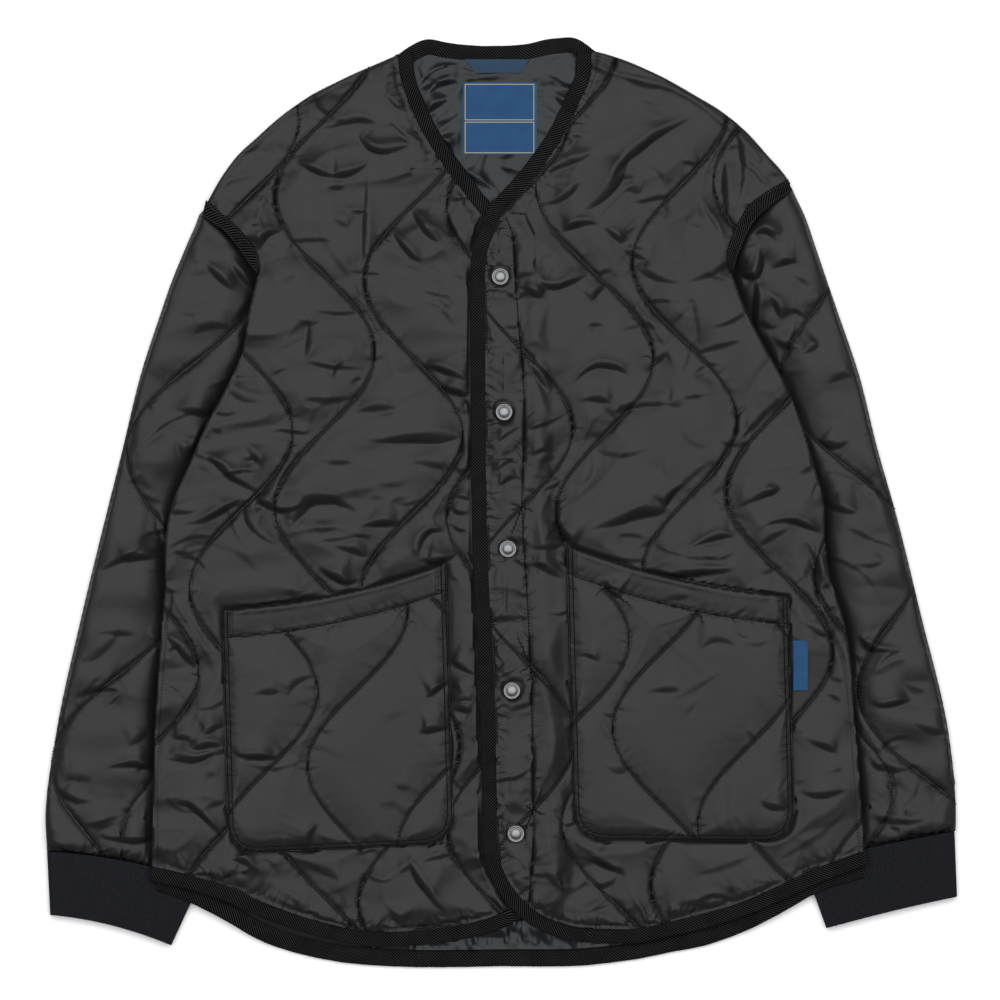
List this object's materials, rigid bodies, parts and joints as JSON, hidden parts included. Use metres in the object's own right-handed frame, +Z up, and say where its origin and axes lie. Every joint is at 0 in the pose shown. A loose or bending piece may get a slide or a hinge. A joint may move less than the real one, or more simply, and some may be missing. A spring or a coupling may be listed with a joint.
{
  "type": "quilted jacket",
  "caption": "Collarless V-neck jacket in wave-quilted nylon, with twill bindings, rib-knit cuffs, patch pockets and press snaps, laid flat on its back.",
  "frame": {"origin": "centre of the underside of the bounding box, on the surface that the jacket lies on", "axes": "+X towards the wearer's left, +Y towards the neck, +Z up from the surface"},
  "size_m": [0.721, 0.7358, 0.0246],
  "materials": {
    "shell": "semi-gloss charcoal nylon, wave quilted",
    "twill": "matt black cotton twill tape",
    "rib": "matt navy-black rib knit",
    "lining": "slate satin",
    "label": "woven blue label, bare, with a pale gold border",
    "loop": "navy grosgrain tape",
    "snap": "dark aged metal"
  },
  "bodies": {
    "root": {"back_panel": "shell", "front_left": "shell", "front_right": "shell", "sleeve_left": "shell", "sleeve_right": "shell", "pocket_left": "shell", "pocket_right": "shell", "front_binding_left": "twill", "front_binding_right": "twill", "back_neck_binding": "twill", "back_hem_binding": "twill", "armhole_tape_left": "twill", "armhole_tape_right": "twill", "cuff_left": "rib", "cuff_right": "rib", "neck_lining": "lining", "hem_lining": "lining", "neck_label": "label", "pocket_tag": "label", "hanger_loop": "loop", "snap_1": "snap", "snap_2": "snap", "snap_3": "snap", "snap_4": "snap", "snap_5": "snap"}
  },
  "joints": []
}
